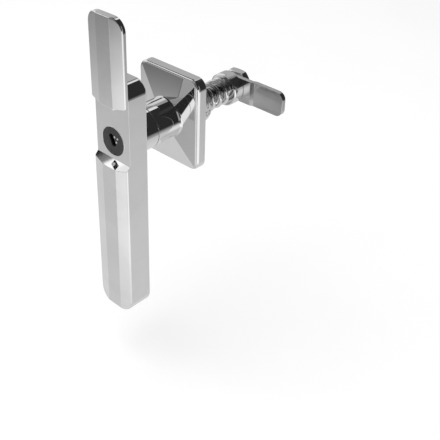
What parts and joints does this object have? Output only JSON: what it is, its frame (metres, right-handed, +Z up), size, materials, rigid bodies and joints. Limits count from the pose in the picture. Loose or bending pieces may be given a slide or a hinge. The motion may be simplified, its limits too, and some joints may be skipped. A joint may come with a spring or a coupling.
{
  "type": "electronic cabinet lock",
  "caption": "Upright lever lock for a cabinet door: sliding cover over a round electronic key face, rectangular rosette, threaded barrel, compression spring and cranked cam",
  "frame": {"origin": "centre of the rosette's back face on the shaft axis, where the barrel leaves the door's outer face", "axes": "+Z up along the handle, +Y back along the shaft through the door, +X to the right seen from the front"},
  "size_m": [0.0627, 0.1102, 0.1866],
  "materials": {
    "chrome_casting": "bright chrome on die-cast zinc",
    "zinc_steel": "bright zinc-plated steel",
    "spring_steel": "bright stainless spring wire",
    "stainless": "bare stainless",
    "plug_black": "satin dark grey",
    "contact_gold": "gold-plated contact",
    "bush_bronze": "sintered bronze",
    "gasket_rubber": "matt black rubber",
    "board_green": "solder-masked board",
    "washer_plastic": "black sliding plastic"
  },
  "bodies": {
    "base": {"rosette": "chrome_casting", "panel_gasket": "gasket_rubber", "mounting_washer": "zinc_steel", "mounting_nut": "zinc_steel", "ramp_ring": "stainless", "guide_bush": "bush_bronze", "shaft_seal": "gasket_rubber", "compression_spring": "spring_steel"},
    "handle": {"handle_body": "chrome_casting", "neck_washer": "washer_plastic", "neck_clip": "spring_steel", "guide_block": "stainless", "guide_screws": "zinc_steel", "detent_ball": "stainless", "detent_spring": "spring_steel", "cylinder_sleeve": "chrome_casting"},
    "key_plug": {"plug": "plug_black", "contact_pins": "contact_gold", "circuit_board": "board_green", "actuator": "stainless", "plug_tail": "stainless", "tail_pin": "stainless"},
    "lock_pin": {"locking_pin": "stainless"},
    "cover": {"sliding_cover": "chrome_casting", "stop_plate": "stainless", "stop_pins": "stainless"},
    "drive": {"drive_shaft": "zinc_steel", "cross_pin": "stainless", "spring_collar": "zinc_steel", "cam": "zinc_steel", "cam_washer": "zinc_steel", "cam_nut": "zinc_steel"}
  },
  "joints": [
    {"name": "handle_turn", "type": "hinge", "parent": "base", "child": "handle", "pos_m": [0, 0, 0], "axis": [0, 1, 0], "range_deg": [0, 90]},
    {"name": "key_turn", "type": "hinge", "parent": "handle", "child": "key_plug", "pos_m": [0, 0, 0], "axis": [0, 1, 0], "range_deg": [-90, 0]},
    {"name": "lock_pin_slide", "type": "slide", "parent": "handle", "child": "lock_pin", "axis": [0, 1, 0], "range_m": [0, 0.0035]},
    {"name": "cover_slide", "type": "slide", "parent": "handle", "child": "cover", "axis": [0, 0, 1], "range_m": [-0.0374, 0]},
    {"name": "compression_slide", "type": "slide", "parent": "handle", "child": "drive", "axis": [0, 1, 0], "range_m": [0, 0.004], "deforming": ["compression_spring"]}
  ],
  "couplings": [
    {"joint": "lock_pin_slide", "follows": "key_turn", "m_per_rad": -0.0022282},
    {"joint": "compression_slide", "follows": "handle_turn", "m_per_rad": 0.0025465}
  ]
}
